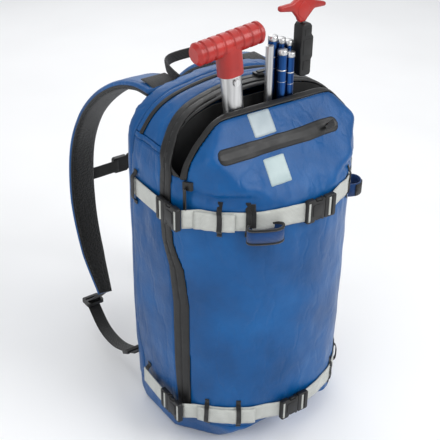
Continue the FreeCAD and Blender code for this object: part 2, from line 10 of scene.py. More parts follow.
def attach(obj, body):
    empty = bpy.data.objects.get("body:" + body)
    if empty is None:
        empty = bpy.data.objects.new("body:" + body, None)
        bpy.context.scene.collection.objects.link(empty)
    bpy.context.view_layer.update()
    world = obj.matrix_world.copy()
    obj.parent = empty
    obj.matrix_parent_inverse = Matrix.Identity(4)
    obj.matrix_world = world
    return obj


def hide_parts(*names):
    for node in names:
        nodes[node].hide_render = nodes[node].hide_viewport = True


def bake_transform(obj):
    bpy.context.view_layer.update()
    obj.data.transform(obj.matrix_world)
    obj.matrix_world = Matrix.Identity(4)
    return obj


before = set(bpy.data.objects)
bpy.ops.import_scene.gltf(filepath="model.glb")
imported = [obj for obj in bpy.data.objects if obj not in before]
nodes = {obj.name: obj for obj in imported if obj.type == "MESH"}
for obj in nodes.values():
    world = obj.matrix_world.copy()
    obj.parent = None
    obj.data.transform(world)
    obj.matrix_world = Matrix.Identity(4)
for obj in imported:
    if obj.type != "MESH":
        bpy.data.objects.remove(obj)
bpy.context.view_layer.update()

MM = 0.001

# ------------------------------------------------------------------ materials


def srgb(r, g, b):
    return tuple(((c / 255) / 12.92 if c / 255 <= 0.04045 else ((c / 255 + 0.055) / 1.055) ** 2.4)
                 for c in (r, g, b)) + (1.0,)


class Shader:
    def __init__(self, name, rough=0.5, metallic=0.0, specular=0.5, sheen=0.0, coat=0.0):
        self.mat = bpy.data.materials.new(name)
        self.mat.use_nodes = True
        self.tree = self.mat.node_tree
        self.bsdf = self.tree.nodes["Principled BSDF"]
        self.bsdf.inputs["Roughness"].default_value = rough
        self.bsdf.inputs["Metallic"].default_value = metallic
        self.bsdf.inputs["Specular IOR Level"].default_value = specular
        self.bsdf.inputs["Sheen Weight"].default_value = sheen
        self.bsdf.inputs["Coat Weight"].default_value = coat
        self.coords = self.tree.nodes.new("ShaderNodeTexCoord")
        self.last_bump = None

    def node(self, kind, **values):
        n = self.tree.nodes.new(kind)
        for key, value in values.items():
            if key in n.inputs:
                n.inputs[key].default_value = value
            else:
                setattr(n, key, value)
        return n

    def link(self, a, b):
        self.tree.links.new(a, b)

    def mapped(self, source="Object", scale=(1, 1, 1)):
        m = self.node("ShaderNodeMapping")
        m.inputs["Scale"].default_value = scale
        self.link(self.coords.outputs[source], m.inputs["Vector"])
        return m.outputs["Vector"]

    def noise(self, scale, detail=4.0, rough=0.5, source="Object", stretch=(1, 1, 1)):
        n = self.node("ShaderNodeTexNoise", Scale=scale, Detail=detail, Roughness=rough)
        self.link(self.mapped(source, stretch), n.inputs["Vector"])
        return n.outputs["Fac"]

    def wave(self, scale, direction, source="Object", distortion=0.0):
        n = self.node("ShaderNodeTexWave", Scale=scale, Distortion=distortion)
        n.bands_direction = direction
        self.link(self.mapped(source), n.inputs["Vector"])
        return n.outputs["Fac"]

    def math(self, op, a, b):
        n = self.node("ShaderNodeMath", operation=op)
        for i, v in enumerate((a, b)):
            if isinstance(v, (int, float)):
                n.inputs[i].default_value = v
            else:
                self.link(v, n.inputs[i])
        return n.outputs[0]

    def ramp(self, fac, stops):
        n = self.node("ShaderNodeValToRGB")
        while len(n.color_ramp.elements) < len(stops):
            n.color_ramp.elements.new(0.5)
        for element, (pos, col) in zip(n.color_ramp.elements, stops):
            element.position = pos
            element.color = col
        self.link(fac, n.inputs["Fac"])
        return n.outputs["Color"]

    def color(self, fac, stops):
        self.link(self.ramp(fac, stops), self.bsdf.inputs["Base Color"])

    def roughness(self, fac, low, high):
        n = self.node("ShaderNodeMapRange")
        n.inputs["To Min"].default_value = low
        n.inputs["To Max"].default_value = high
        self.link(fac, n.inputs["Value"])
        self.link(n.outputs["Result"], self.bsdf.inputs["Roughness"])

    def bump(self, height, distance, strength=1.0):
        n = self.node("ShaderNodeBump", Strength=strength, Distance=distance)
        self.link(height, n.inputs["Height"])
        if self.last_bump:
            self.link(self.last_bump, n.inputs["Normal"])
        self.last_bump = n.outputs["Normal"]
        self.link(self.last_bump, self.bsdf.inputs["Normal"])


def grey(v):
    return srgb(v, v, v)


def tarpaulin(name, dark, mid, light):
    s = Shader(name, rough=0.36, specular=0.32)
    blotch = s.noise(9.0, 5.0, 0.55)
    s.color(blotch, [(0.3, dark), (0.52, mid), (0.75, light)])
    s.roughness(s.noise(40.0, 4.0, 0.6), 0.27, 0.44)
    creases = s.math("ABSOLUTE", s.math("SUBTRACT", s.noise(22.0, 3.0, 0.5, stretch=(1, 1, 0.45)), 0.5),
                     0.0)
    s.bump(s.math("MINIMUM", creases, 0.05), 0.011, 0.7)
    s.bump(s.noise(75.0, 4.0, 0.6), 0.0012, 0.6)
    cross = s.math("ADD", s.wave(420.0, "Z"), s.wave(420.0, "X"))
    s.bump(cross, 0.0001, 0.35)
    return s.mat


def woven(name, dark, light, rough=0.75, ribs=260.0):
    s = Shader(name, rough=rough, specular=0.3, sheen=0.25)
    ribbing = s.wave(ribs, "X", "UV")
    across = s.wave(ribs * 0.7, "Y", "UV")
    weave = s.math("MULTIPLY", ribbing, across)
    s.color(s.math("ADD", s.math("MULTIPLY", weave, 0.6), s.math("MULTIPLY", s.noise(60.0, 3.0), 0.5)),
            [(0.15, dark), (0.75, light)])
    s.bump(weave, 0.0006, 0.8)
    return s.mat


def moulded(name, dark, light, rough=0.45, grain=900.0, depth=0.00012, coat=0.0):
    s = Shader(name, rough=rough, specular=0.5, coat=coat)
    s.color(s.noise(35.0, 4.0), [(0.3, dark), (0.7, light)])
    s.roughness(s.noise(80.0, 3.0), rough - 0.07, rough + 0.12)
    s.bump(s.noise(grain, 2.0), depth, 0.6)
    return s.mat


def metal(name, dark, light, rough=0.3, stretch=(1, 1, 0.04)):
    s = Shader(name, rough=rough, metallic=1.0)
    s.color(s.noise(220.0, 3.0, stretch=stretch), [(0.3, dark), (0.7, light)])
    s.roughness(s.noise(300.0, 3.0, stretch=stretch), rough - 0.08, rough + 0.12)
    s.bump(s.noise(600.0, 2.0, stretch=stretch), 0.00005, 0.5)
    return s.mat


def mesh_fabric(name):
    s = Shader(name, rough=0.85, specular=0.25, sheen=0.3)
    cells = s.node("ShaderNodeTexVoronoi", Scale=330.0)
    s.link(s.mapped("Object"), cells.inputs["Vector"])
    s.color(cells.outputs["Distance"], [(0.1, grey(8)), (0.6, grey(30))])
    s.bump(cells.outputs["Distance"], 0.0012, 0.8)
    return s.mat


def rubber_tape(name):
    s = Shader(name, rough=0.42, specular=0.45)
    s.color(s.noise(50.0, 4.0), [(0.3, grey(12)), (0.7, grey(26))])
    s.roughness(s.noise(120.0, 4.0), 0.32, 0.55)
    s.bump(s.noise(160.0, 3.0), 0.0004, 0.5)
    s.bump(s.wave(520.0, "Z"), 0.00006, 0.4)
    return s.mat


M = {
    "blue": tarpaulin("blue_tarpaulin", srgb(0, 62, 114), srgb(0, 78, 138), srgb(2, 94, 160)),
    "blue_loop": woven("blue_webbing", srgb(0, 46, 96), srgb(8, 78, 144)),
    "black_web": woven("black_webbing", grey(8), grey(34)),
    "light_web": woven("light_webbing", srgb(176, 178, 172), srgb(224, 226, 220), 0.7),
    "tape": rubber_tape("zip_tape"),
    "plastic": moulded("black_plastic", grey(8), grey(22)),
    "red": moulded("red_plastic", srgb(150, 22, 16), srgb(186, 36, 26), 0.34, 700.0, 0.00008, 0.1),
    "mesh": mesh_fabric("spacer_mesh"),
    "reflective": moulded("reflective_tape", srgb(148, 162, 168), srgb(176, 188, 192), 0.38, 1400.0,
                          0.0001),
    "patch": moulded("pale_patch", srgb(160, 178, 180), srgb(186, 202, 202), 0.5, 1200.0, 0.0001),
    "silver": metal("satin_aluminium", grey(176), grey(222), 0.32),
    "probe": metal("blue_anodised", srgb(18, 40, 84), srgb(44, 88, 150), 0.3),
    "thread": moulded("blue_thread", srgb(22, 66, 130), srgb(60, 118, 190), 0.7),
    "dark_thread": moulded("dark_thread", grey(30), grey(60), 0.7),
    "zip_teeth": moulded("zip_coil", grey(10), grey(26), 0.35),
}

# ------------------------------------------------------------------ mesh helpers


def finish_piece(obj, mat, body, replaces=(), ride=True):
    obj.data.materials.clear()
    obj.data.materials.append(M[mat])
    for p in obj.data.polygons:
        p.use_smooth = True
    if ride:
        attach(obj, body)
    if replaces:
        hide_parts(*replaces)
    return obj


def new_object(name, verts, faces, uvs=None):
    mesh = bpy.data.meshes.new(name)
    mesh.from_pydata([tuple(v) for v in verts], [], faces)
    if uvs is not None:
        layer = mesh.uv_layers.new(name="UVMap")
        for loop in mesh.loops:
            layer.data[loop.index].uv = uvs[loop.vertex_index]
    obj = bpy.data.objects.new(name, mesh)
    bpy.context.scene.collection.objects.link(obj)
    bm = bmesh.new()
    bm.from_mesh(mesh)
    bmesh.ops.recalc_face_normals(bm, faces=bm.faces)
    bm.to_mesh(mesh)
    bm.free()
    return obj


def apply_modifiers(obj):
    bpy.context.view_layer.update()
    deps = bpy.context.evaluated_depsgraph_get()
    mesh = bpy.data.meshes.new_from_object(obj.evaluated_get(deps))
    obj.modifiers.clear()
    obj.data = mesh


def loft(name, rings, loop=False):
    """A tube of cross-section rings, each a list of points that go round once."""
    n = len(rings[0])
    verts = [p for ring in rings for p in ring]
    faces = []
    uvs = []
    run = 0.0
    for i, ring in enumerate(rings):
        if i:
            run += (Vector(ring[0]) - Vector(rings[i - 1][0])).length
        around = 0.0
        for j, p in enumerate(ring):
            if j:
                around += (Vector(p) - Vector(ring[j - 1])).length
            uvs.append((run, around))
    last = len(rings) if loop else len(rings) - 1
    for i in range(last):
        k = (i + 1) % len(rings)
        for j in range(n):
            j2 = (j + 1) % n
            faces.append((i * n + j, i * n + j2, k * n + j2, k * n + j))
    if not loop:
        faces.append(tuple(range(n)))
        faces.append(tuple((len(rings) - 1) * n + j for j in range(n)))
    return new_object(name, verts, faces, uvs)


def resample(points, step):
    pts = [Vector(p) for p in points]
    lengths = [0.0]
    for a, b in zip(pts, pts[1:]):
        lengths.append(lengths[-1] + (b - a).length)
    count = max(2, int(round(lengths[-1] / step)) + 1)
    out = []
    k = 0
    for i in range(count):
        d = lengths[-1] * i / (count - 1)
        while k < len(pts) - 2 and lengths[k + 1] < d:
            k += 1
        span = lengths[k + 1] - lengths[k]
        out.append(pts[k].lerp(pts[k + 1], (d - lengths[k]) / span if span else 0))
    return out


def smooth_path(points, step=0.004):
    """A Catmull-Rom curve through the points, evenly spaced."""
    p = [Vector(q) for q in points]
    p = [p[0] * 2 - p[1]] + p + [p[-1] * 2 - p[-2]]
    out = []
    for i in range(1, len(p) - 2):
        for t in np.linspace(0, 1, 12, endpoint=False):
            a, b, c, d = p[i - 1], p[i], p[i + 1], p[i + 2]
            out.append(0.5 * ((2 * b) + (c - a) * t + (2 * a - 5 * b + 4 * c - d) * t * t
                              + (3 * b - a - 3 * c + d) * t ** 3))
    out.append(p[-2])
    return resample(out, step)


def section(width, thick, crown=0.0, n_flat=8, edge=4):
    """A flat strip's cross-section: points (across, up), rounded at the edges and crowned outward."""
    w = width / 2
    h = thick / 2
    pts = []
    for i in range(n_flat + 1):
        x = -w + h + (width - thick) * i / n_flat
        pts.append((x, h + crown * (1 - (x / w) ** 2)))
    for i in range(1, edge):
        a = math.pi / 2 - math.pi * i / edge
        pts.append((w - h + h * math.cos(a), h * math.sin(a)))
    for i in range(n_flat + 1):
        x = w - h - (width - thick) * i / n_flat
        pts.append((x, -h))
    for i in range(1, edge):
        a = -math.pi / 2 - math.pi * i / edge
        pts.append((-w + h + h * math.cos(a), h * math.sin(a)))
    return pts


def ribbon(name, path, across, width, thick, crown=0.0, widths=None):
    """A strip along path. across is the sideways direction, or gives it for point i."""
    rings = []
    for i, p in enumerate(path):
        a = path[max(0, i - 1)]
        b = path[min(len(path) - 1, i + 1)]
        t = (b - a).normalized()
        side = Vector(across(i) if callable(across) else across)
        side = (side - t * side.dot(t)).normalized()
        up = side.cross(t).normalized()
        w = widths[i] if widths else width
        rings.append([p + side * x + up * y for x, y in section(w, thick, crown)])
    return loft(name, rings)


def tube(name, path, radius, sides=8):
    rings = []
    ref = Vector((0, 0, 1))
    for i, p in enumerate(path):
        t = (path[min(len(path) - 1, i + 1)] - path[max(0, i - 1)]).normalized()
        if abs(t.dot(ref)) > 0.95:
            ref = Vector((0, 1, 0))
        u = t.cross(ref).normalized()
        w = u.cross(t).normalized()
        rings.append([p + (u * math.cos(k * math.tau / sides) + w * math.sin(k * math.tau / sides)) * radius
                      for k in range(sides)])
    return loft(name, rings)


def join(name, objs):
    """Several meshes as one object."""
    bm = bmesh.new()
    for o in objs:
        bm.from_mesh(o.data)
    mesh = bpy.data.meshes.new(name)
    bm.to_mesh(mesh)
    bm.free()
    for o in objs:
        bpy.data.objects.remove(o)
    obj = bpy.data.objects.new(name, mesh)
    bpy.context.scene.collection.objects.link(obj)
    return obj


# ------------------------------------------------------------------ the bag's skin
MAIN_TAPE_HALF = 10.5
BORDER_Y = 58
BASE_TOP = 40
WELT_LOW = 432
WELT_HIGH = 438
REAR_ZIP_FRONT = 42
REAR_ZIP_BACK = 48
REAR_ZIP_MID = 45
MOUTH_FLOOR = 414
FLAP_TAPE_BACK = -44
FLAP_TAPE_FRONT = -51.2
SHELL = ["back_panel", "base_panel", "side_panel_left", "side_panel_right", "side_welts", "top_yoke_rear",
         "top_yoke_front", "front_panel", "pocket_rim", "front_flap"]
ZIP = [(13, 505), (10, 488), (-8, 450), (-20, 416), (-17, 360), (-21, 320), (-35, 285), (-41, 233),
       (-42, 60), (-38, 40)]
MOUTH = [(-10, 505), (-10, 488), (-17, 448), (-28, 424), (-36, 419),
         (FLAP_TAPE_BACK, MOUTH_FLOOR)]
STRAPS = (62.0, 366.0)


def y_at(path, z):
    for (a, b), (c, d) in zip(path, path[1:]):
        if d <= z <= b:
            return c + (a - c) * (z - d) / (b - d)
    return path[0][0] if z > path[0][1] else path[-1][0]


def build_skin():
    bm = bmesh.new()
    for name in SHELL:
        for v in nodes[name].data.vertices:
            bm.verts.new(v.co)
    bmesh.ops.convex_hull(bm, input=bm.verts)
    loose = [v for v in bm.verts if not v.link_faces]
    bmesh.ops.delete(bm, geom=loose, context="VERTS")
    mesh = bpy.data.meshes.new("skin")
    bm.to_mesh(mesh)
    bm.free()
    obj = bpy.data.objects.new("skin", mesh)
    bpy.context.scene.collection.objects.link(obj)
    m = obj.modifiers.new("remesh", "REMESH")
    m.mode = "VOXEL"
    m.voxel_size = 0.004
    s = obj.modifiers.new("smooth", "SMOOTH")
    s.factor = 0.5
    s.iterations = 7
    apply_modifiers(obj)
    return obj


def corner_crease(x, y, z):
    """The fold the flap makes where it turns at the end of its zip, and the pull lines beside it."""
    if y > -40 or not 340 < z < 470:
        return 0.0
    depth = 0.0
    for sign, strength in ((-1, 1.0), (1, 0.7)):
        across = sign * x - 50
        if across <= 0:
            continue
        reach = math.exp(-((across - 42) / 36.0) ** 2) * strength
        line = 388 + 0.16 * (across - 10) + 3.0 * math.sin(across / 13.0)
        depth -= 0.0052 * reach * math.exp(-((z - line) / 5.0) ** 2)
        depth += 0.0030 * reach * math.exp(-((z - line - 13) / 7.0) ** 2)
        depth += 0.0018 * reach * math.exp(-((z - line + 11) / 5.0) ** 2)
    return depth


def bulge(p):
    """How far the cloth stands out, in metres: fuller between the seams, drawn in at straps and seams."""
    x, y, z = p[0] * 1000, p[1] * 1000, p[2] * 1000
    pinch = 1.0
    for level in STRAPS:
        pinch = min(pinch, 1 - math.exp(-((z - level) / 17.0) ** 2))
    zip_gap = abs(y - y_at(ZIP, z)) - MAIN_TAPE_HALF
    pinch = min(pinch, 1 - math.exp(-(max(zip_gap, 0) / 14.0) ** 2)) if zip_gap > 0 else 0.0
    if z > 405:
        pinch *= max(0.0, min(1.0, (abs(y + 46) - 4) / 16.0)) if y < 0 else 1.0
        pinch *= max(0.1, min(1.0, abs(y - 45) / 14.0)) if y > 0 else 1.0
    pinch *= max(0.0, min(1.0, (z - 2) / 30.0))
    if y > 60:
        pinch *= 0.25
    full = 0.0016 * pinch
    folds = noise.noise(Vector((x / 70, y / 70, z / 130))) * 0.0031
    diagonal = noise.noise(Vector(((x + z * 0.55) / 26, y / 40, (z - x * 0.5) / 95))) * 0.0013
    small = noise.noise(Vector((x / 15, y / 15, z / 24))) * 0.0007
    near = 0.0
    for level in STRAPS:
        gather = math.exp(-(abs(z - level) / 42.0) ** 2)
        near += gather * noise.noise(Vector((x / 11, y / 11, z / 70))) * 0.0024
    return full + (folds + diagonal + small + near) * min(1.0, pinch + 0.12) + corner_crease(x, y, z)


def bisect(bm, point, normal, low=None, high=None):
    faces = [f for f in bm.faces if (low is None or low <= f.calc_center_median().z <= high)]
    geom = faces + list({e for f in faces for e in f.edges}) + list({v for f in faces for v in f.verts})
    bmesh.ops.bisect_plane(bm, geom=geom, plane_co=point, plane_no=normal, dist=0.00012)


def cut_along(bm, path, offset):
    for (a, b), (c, d) in zip(path, path[1:]):
        direction = Vector((0, (a - c), (b - d))).normalized()
        normal = Vector((0, direction.z, -direction.y))
        bisect(bm, (0, (a + offset) * MM, b * MM), normal, d * MM, b * MM)


def region(p):
    x, y, z = p.x * 1000, p.y * 1000, p.z * 1000
    if z < BASE_TOP:
        return "base_panel"
    if y > BORDER_Y:
        return "back_panel"
    mid = y_at(ZIP, z)
    if abs(y - mid) < MAIN_TAPE_HALF:
        return "main_zip_tape"
    if y > mid:
        if z < WELT_LOW:
            return "side_panel_left" if x < 0 else "side_panel_right"
        if z < WELT_HIGH:
            return "side_welts"
        if REAR_ZIP_FRONT < y < REAR_ZIP_BACK:
            return "rear_zip_tape"
        return "top_yoke_rear" if y > REAR_ZIP_BACK else "top_yoke_front"
    if z > MOUTH_FLOOR:
        if y > FLAP_TAPE_BACK:
            return "mouth" if y < y_at(MOUTH, z) else "pocket_rim"
        if y > FLAP_TAPE_FRONT:
            return "flap_zip_tape"
    return "front"


skin = build_skin()
bm = bmesh.new()
bm.from_mesh(skin.data)
for v in bm.verts:
    v.normal_update()
moves = [(v, v.normal * bulge(v.co)) for v in bm.verts]
for v, d in moves:
    v.co += d
for level in sorted({b for a, b in ZIP + MOUTH} | {BASE_TOP, WELT_LOW, WELT_HIGH, MOUTH_FLOOR}):
    bisect(bm, (0, 0, level * MM), (0, 0, 1))
for y in (BORDER_Y, REAR_ZIP_BACK, REAR_ZIP_FRONT, FLAP_TAPE_BACK, FLAP_TAPE_FRONT):
    bisect(bm, (0, y * MM, 0), (0, 1, 0))
for offset in (-MAIN_TAPE_HALF, -9.0, -1.0, 0.0, 1.0, 9.0, MAIN_TAPE_HALF):
    cut_along(bm, ZIP, offset)
cut_along(bm, MOUTH, 0.0)
for y in (43.4, 44.4, 45.6, 46.6):
    bisect(bm, (0, y * MM, 0), (0, 1, 0))
bm.normal_update()
groups = {}
for f in bm.faces:
    groups.setdefault(region(f.calc_center_median()), []).append(f)
bvh = BVHTree.FromBMesh(bm)


def panel(name, key, lift=None, thick=0.0022, roll=0.0012):
    """One sewn panel: the faces of its region, drawn in at the edges, with a wall inside."""
    faces = groups[key]
    verts = {}
    out_v = []
    out_f = []
    counts = {}
    for f in faces:
        for e in f.edges:
            counts[e] = counts.get(e, 0) + 1
    border = {v for e, c in counts.items() if c == 1 for v in e.verts}
    for f in faces:
        for v in f.verts:
            if v not in verts:
                verts[v] = len(out_v)
                co = v.co.copy()
                if lift:
                    co += v.normal * lift(co)
                if v in border:
                    co -= v.normal * roll
                out_v.append(co)
        out_f.append([verts[v] for v in f.verts])
    n = len(out_v)
    inner = [None] * n
    for v, i in verts.items():
        inner[i] = out_v[i] - v.normal * (thick - (roll if v in border else 0))
    all_f = [tuple(f) for f in out_f] + [tuple(n + i for i in reversed(f)) for f in out_f]
    for e, c in counts.items():
        if c == 1:
            a, b = verts[e.verts[0]], verts[e.verts[1]]
            all_f.append((a, b, n + b, n + a))
    return new_object(name, out_v + inner, all_f)


def zip_lift(p):
    gap = abs(p.y * 1000 - y_at(ZIP, p.z * 1000))
    if gap < 0.6:
        return -0.0004
    return 0.0010 if gap < 9.6 else 0.0002


def rear_zip_lift(p):
    gap = abs(p.y * 1000 - REAR_ZIP_MID)
    return 0.0011 if gap < 1 else 0.0003


for key in ("back_panel", "base_panel", "side_panel_left", "side_panel_right", "side_welts", "top_yoke_rear",
            "top_yoke_front", "pocket_rim"):
    mat = "tape" if key == "pocket_rim" else "blue"
    lift = (lambda p: 0.0008) if key == "side_welts" else None
    finish_piece(panel("skin_" + key, key, lift), mat, "bag", [key])
finish_piece(panel("skin_main_zip", "main_zip_tape", zip_lift, roll=0.0), "tape", "bag",
             ["main_zip_tape"])
finish_piece(panel("skin_rear_zip", "rear_zip_tape", rear_zip_lift, roll=0.0), "tape", "bag",
             ["rear_zip_tape"])
front = panel("skin_front", "front")
finish_piece(front, "blue", "bag", ["front_panel", "front_flap"], ride=False)
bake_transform(front)
flap_tape = panel("skin_flap_tape", "flap_zip_tape", lambda p: 0.0012, roll=0.0)
finish_piece(flap_tape, "tape", "flap", ["flap_zip_tape"], ride=False)
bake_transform(flap_tape)
bpy.data.objects.remove(skin)

# ------------------------------------------------------------------ camera, light, floor
AIM = Vector((-0.05125, -0.010, 0.31404))
AZ = math.radians(-35.76)
EL = math.radians(30.54)
ROLL = math.radians(0.642)
CAMERA_DISTANCE = 1.17925
back = Vector((math.sin(AZ) * math.cos(EL), -math.cos(AZ) * math.cos(EL), math.sin(EL)))
right = Vector((math.cos(AZ), math.sin(AZ), 0))
up = back.cross(right)
right_r = right * math.cos(ROLL) + up * math.sin(ROLL)
up_r = up * math.cos(ROLL) - right * math.sin(ROLL)
camera_data = bpy.data.cameras.new("camera")
camera_data.lens = 74.2
camera_data.sensor_width = 36.0
camera_data.clip_start = 0.05
camera = bpy.data.objects.new("camera", camera_data)
bpy.context.scene.collection.objects.link(camera)
basis = Matrix((right_r, up_r, back)).transposed().to_4x4()
camera.matrix_world = Matrix.Translation(AIM + back * CAMERA_DISTANCE) @ basis
bpy.context.scene.camera = camera


def area_light(name, location, target, size, power, colour=(1, 1, 1)):
    data = bpy.data.lights.new(name, "AREA")
    data.shape = "RECTANGLE"
    data.size = size[0]
    data.size_y = size[1]
    data.energy = power
    data.color = colour
    obj = bpy.data.objects.new(name, data)
    obj.location = location
    direction = Vector(target) - Vector(location)
    obj.rotation_euler = direction.to_track_quat("-Z", "Y").to_euler()
    bpy.context.scene.collection.objects.link(obj)


area_light("key", (0.9, -1.6, 1.6), (0, 0, 0.25), (1.2, 1.2), 23)
area_light("fill", (-1.8, -0.6, 1.1), (0, 0, 0.25), (1.4, 1.6), 9)
area_light("top", (0, 0.2, 2.0), (0, 0, 0.2), (1.6, 1.6), 8)
area_light("rim", (0.8, 1.6, 1.3), (0, 0, 0.3), (1.2, 1.2), 7)
world = bpy.data.worlds.new("studio")
world.use_nodes = True
world.node_tree.nodes["Background"].inputs["Color"].default_value = (0.95, 0.97, 1.0, 1.0)
world.node_tree.nodes["Background"].inputs["Strength"].default_value = 0.62
bpy.context.scene.world = world
bpy.context.scene.view_settings.view_transform = "Standard"
floor = new_object("floor", [(-6, -6, -0.0005), (6, -6, -0.0005), (6, 6, -0.0005), (-6, 6, -0.0005)],
                   [(0, 1, 2, 3)])
floor_shader = Shader("pale_floor", rough=0.9, specular=0.1)
floor_shader.color(floor_shader.noise(3.0, 2.0), [(0.3, grey(246)), (0.7, grey(250))])
floor.data.materials.append(floor_shader.mat)

# ------------------------------------------------------------------ webbing laid on the skin


def mm(*p):
    return Vector(p) * MM


def skin_at(angle, z, lift=0.0):
    """The point of the skin seen from the bag's axis at this angle and height, stood off by lift."""
    direction = Vector((math.cos(angle), math.sin(angle), 0))
    hit, normal, _, _ = bvh.ray_cast(Vector((0, 0, z)), direction)
    normal = Vector((normal.x, normal.y, 0)).normalized() if normal.dot(direction) > 0 else direction
    return hit + normal * lift


def front_at(x, z, lift=0.0):
    hit, normal, _, _ = bvh.ray_cast(Vector((x, -0.4, z)), Vector((0, 1, 0)))
    normal = normal if normal.y < 0 else -normal
    return hit + normal * lift


def angle_of(x, y):
    return math.atan2(y, x) % math.tau


def strap_angles(z, start, end, step=0.004):
    fine = np.linspace(start, end, 260)
    pts = [skin_at(a, z) for a in fine]
    run = np.concatenate([[0], np.cumsum([(b - a).length for a, b in zip(pts, pts[1:])])])
    count = max(3, int(run[-1] / step))
    return np.interp(np.linspace(0, run[-1], count), run, fine)


def wrapped_strap(name, level, start, end, width=25.0, base=0.0011, thick=0.0017, end_lift=(0.0, 0.0)):
    """Flat webbing that hugs the bag at this height; its ends may stand off to meet a buckle."""
    rings = []
    angles = strap_angles(level * MM, start, end)
    rows = np.linspace(-width / 2, width / 2, 7)
    for i, a in enumerate(angles):
        u = i / (len(angles) - 1)
        raise_by = base + end_lift[0] * max(0, 1 - u * 7) ** 1.6 + end_lift[1] * max(0,
                                                                                     1 - (1 - u) * 7) ** 1.6
        ripple = 0.0005 * math.sin(u * 23 + level) + 0.0004 * noise.noise(Vector((u * 9, level, 0)))
        mid = skin_at(a, level * MM)
        outward = (skin_at(a, level * MM, 0.001) - mid).normalized()
        flat = [skin_at(a, (level + r) * MM) for r in rows]
        reach = max((p - mid).dot(outward) for p in flat)
        top = []
        low = []
        for r, p in zip(rows, flat):
            d = (p - mid).dot(outward)
            settle = d + (reach - d) * 0.55
            q = Vector((mid.x, mid.y, p.z)) + outward * (settle + raise_by + ripple)
            round_off = 0.0005 if abs(r) > width / 2 - 0.1 else 0.0
            top.append(q + outward * (thick - round_off))
            low.append(q)
        rings.append(top + low[::-1])
    return loft(name, rings)


def stitch_line(points, normals, name, mat, body, every=0.0042, length=0.0026,
                r=0.00028):
    """A row of separate stitches along a line."""
    path = resample(points, every)
    objs = []
    verts = []
    faces = []
    for i in range(len(path) - 1):
        a = path[i]
        b = path[i] + (path[i + 1] - path[i]).normalized() * length
        t = (b - a).normalized()
        n = normals(a)
        side = t.cross(n).normalized()
        k = len(verts)
        for p in (a, a.lerp(b, 0.5) + n * r, b):
            verts += [p + side * r, p + n * r * 0.9, p - side * r, p - n * r]
        for j in (0, 4):
            for q in range(4):
                w = (q + 1) % 4
                faces.append((k + j + q, k + j + w, k + j + 4 + w, k + j + 4 + q))
        faces += [(k, k + 1, k + 2, k + 3), (k + 8, k + 11, k + 10, k + 9)]
    obj = new_object(name, verts, faces)
    return finish_piece(obj, mat, body)


def on_skin(p):
    hit, normal, _, _ = bvh.find_nearest(p)
    return hit, normal


LEVEL = {"lower": 62.0, "upper": 366.0}
FRONT_X = {"lower": -10.0, "upper": 12.0}
LEFT_Y = {"lower": -12.0, "upper": -14.0}
SIDE_Y = {"lower": 38.0, "upper": 47.0}


def outline_piece(name, outline, frame_axes, depth, bevel=0.0008):
    """A flat moulding: an outline in the u, v plane given thickness along n, with softened edges."""
    origin, u, v, n = frame_axes
    verts = [origin + (u * a + v * b) * MM + n * d * MM for d in depth for a, b in outline]
    k = len(outline)
    faces = [tuple(range(k)), tuple(range(2 * k - 1, k - 1, -1))]
    faces += [(i, (i + 1) % k, k + (i + 1) % k, k + i) for i in range(k)]
    obj = new_object(name, verts, faces)
    m = obj.modifiers.new("bevel", "BEVEL")
    m.width = bevel
    m.segments = 3
    m.limit_method = "ANGLE"
    m.angle_limit = 0.6
    apply_modifiers(obj)
    return obj


def mirrored(half):
    return half + [(a, -b) for a, b in reversed(half)]


SOCKET_HALF = [(-20, 14), (-18, 15.6), (-8, 15.8), (-6, 12.4), (2.5, 11.2), (4.5, 14.6), (6.2, 15.4), (8,
                                                                                                       13.5)]
CLIP_HALF = [(8.6, 13.0), (10, 15.0), (24, 15.4), (26, 13.6)]


def buckle_socket(name, axes):
    body = outline_piece(name + "a", mirrored(SOCKET_HALF), axes, (0.3, 7.0))
    pad = outline_piece(name + "b", mirrored([(-11, 7), (-9, 8.6), (0, 8.2), (3, 6.5)]), axes, (6.4,
                                                                                             7.7), 0.0004)
    return [body, pad]


def buckle_clip(name, axes):
    base = outline_piece(name + "a", mirrored(CLIP_HALF), axes, (0.5, 6.8))
    prongs = []
    for s in (-1, 1):
        shape = [(9, 8.4), (9, 12.4), (3, 14.6), (-3, 14.9), (-5.6, 13.2), (-3, 12.2), (3, 11.4)]
        prongs.append(outline_piece("%sp%d" % (name, s), [(a, b * s) for a, b in shape], axes,
                                    (1.6, 5.8),
                                    0.0006))
    bar = outline_piece(name + "c", mirrored([(19.5, 12.5), (22.5, 12.5)]),
                        axes,
                        (6.2, 7.7), 0.0005)
    tongue = outline_piece(name + "t", mirrored([(-9, 4.5), (9, 5.5)]), axes,
                           (2.6, 5.0), 0.0004)
    return [base, bar, tongue] + prongs


def web_wrap(name, axes, at, reach=2.2):
    """The webbing's fold where it passes over a buckle bar."""
    origin, u, v, n = axes
    rings = []
    for t in np.linspace(-1, 1, 9):
        half = 12.4
        c = origin + u * at * MM + v * t * half * MM
        rings.append([c + u * reach * MM * math.cos(k * math.tau / 12)
                      + n * (4.2 + 4.0 * math.sin(k * math.tau / 12)) * MM for k in range(12)])
    return loft(name, rings)


